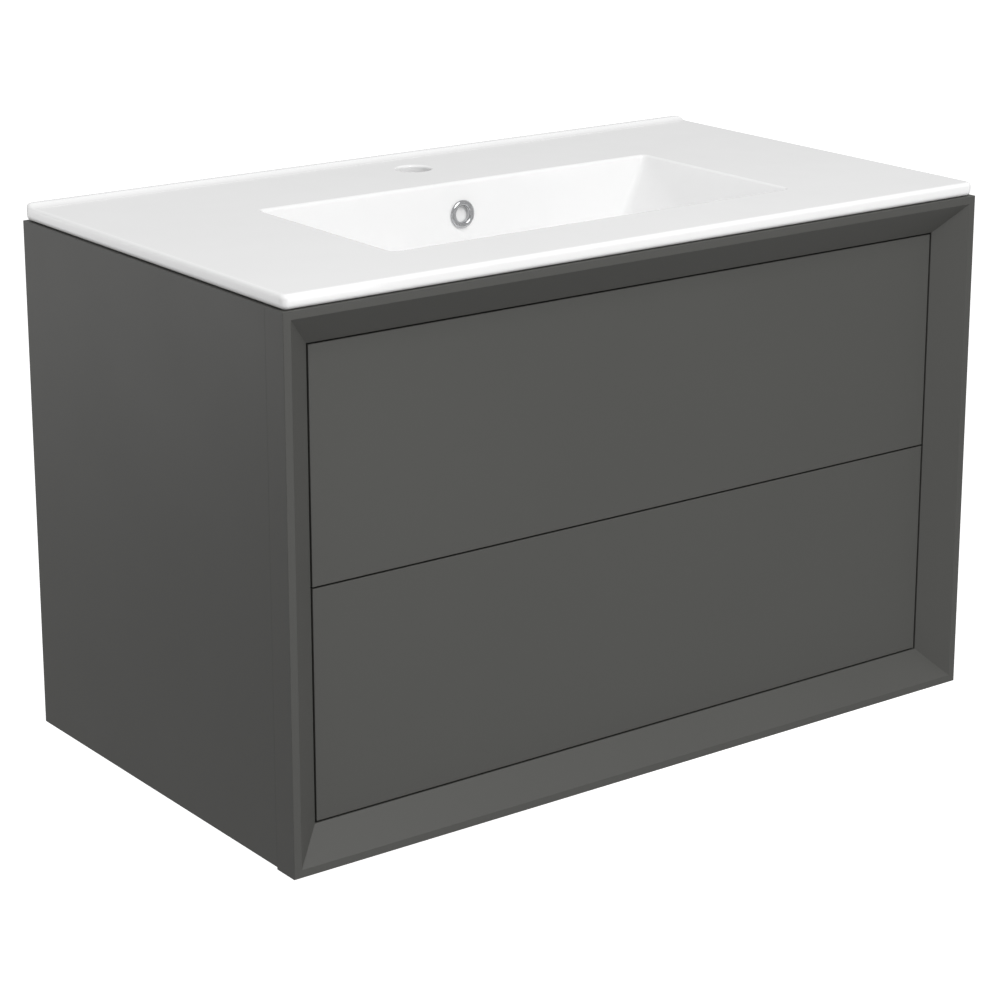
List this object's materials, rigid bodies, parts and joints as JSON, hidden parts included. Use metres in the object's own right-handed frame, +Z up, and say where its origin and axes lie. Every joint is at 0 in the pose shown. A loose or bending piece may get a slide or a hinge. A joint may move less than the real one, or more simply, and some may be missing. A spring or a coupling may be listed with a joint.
{
  "type": "wall-hung bathroom vanity",
  "caption": "Wall-hung vanity cabinet with a bevelled mitred front frame, handle-less drawers on full-extension runners and an inset ceramic basin with tap hole and overflow.",
  "frame": {"origin": "middle of the hanging rail's back face, which lies on the wall plane", "axes": "+X to the right of a person facing the front, +Y into the wall, +Z up; the front faces -Y"},
  "size_m": [0.8, 0.452, 0.522],
  "materials": {
    "lacquer": "matte anthracite lacquer on fibreboard",
    "carcass_board": "anthracite melamine-faced chipboard",
    "drawer_board": "light grey textured melamine",
    "ceramic": "gloss white glaze",
    "chrome": "polished",
    "zinc_steel": "bright zinc-plated, rolled",
    "grey_plastic": "moulded, fine texture"
  },
  "bodies": {
    "cabinet": {"basin": "ceramic", "bottom_panel": "carcass_board", "divider_rail": "carcass_board", "frame_bottom": "lacquer", "frame_left": "lacquer", "frame_right": "lacquer", "frame_top": "lacquer", "front_rail": "carcass_board", "hanger_left": "zinc_steel", "hanger_right": "zinc_steel", "hanging_rail": "carcass_board", "lower_back_rail": "carcass_board", "overflow_ring": "chrome", "runner_outer_lower_left": "zinc_steel", "runner_outer_lower_right": "zinc_steel", "runner_outer_upper_left": "zinc_steel", "runner_outer_upper_right": "zinc_steel", "runner_packer_lower_left": "carcass_board", "runner_packer_lower_right": "carcass_board", "runner_packer_upper_left": "carcass_board", "runner_packer_upper_right": "carcass_board", "side_panel_left": "lacquer", "side_panel_right": "lacquer", "wall_plate_left": "zinc_steel", "wall_plate_right": "zinc_steel"},
    "upper_drawer": {"runner_inner_upper_left": "zinc_steel", "runner_inner_upper_right": "zinc_steel", "trap_surround": "grey_plastic", "upper_back_left": "drawer_board", "upper_back_right": "drawer_board", "upper_floor": "drawer_board", "upper_front": "lacquer", "upper_side_left": "drawer_board", "upper_side_right": "drawer_board"},
    "lower_drawer": {"lower_back": "drawer_board", "lower_floor": "drawer_board", "lower_front": "lacquer", "lower_side_left": "drawer_board", "lower_side_right": "drawer_board", "runner_inner_lower_left": "zinc_steel", "runner_inner_lower_right": "zinc_steel"},
    "upper_runner_mids": {"runner_mid_upper_left": "zinc_steel", "runner_mid_upper_right": "zinc_steel"},
    "lower_runner_mids": {"runner_mid_lower_left": "zinc_steel", "runner_mid_lower_right": "zinc_steel"}
  },
  "joints": [
    {"name": "upper_drawer_slide", "type": "slide", "parent": "cabinet", "child": "upper_drawer", "axis": [0, -1, 0], "range_m": [-0.002, 0.345]},
    {"name": "lower_drawer_slide", "type": "slide", "parent": "cabinet", "child": "lower_drawer", "axis": [0, -1, 0], "range_m": [-0.002, 0.345]},
    {"name": "upper_mids_slide", "type": "slide", "parent": "cabinet", "child": "upper_runner_mids", "axis": [0, -1, 0], "range_m": [-0.001, 0.1725]},
    {"name": "lower_mids_slide", "type": "slide", "parent": "cabinet", "child": "lower_runner_mids", "axis": [0, -1, 0], "range_m": [-0.001, 0.1725]}
  ],
  "couplings": [
    {"joint": "upper_mids_slide", "follows": "upper_drawer_slide", "ratio": 0.5},
    {"joint": "lower_mids_slide", "follows": "lower_drawer_slide", "ratio": 0.5}
  ]
}
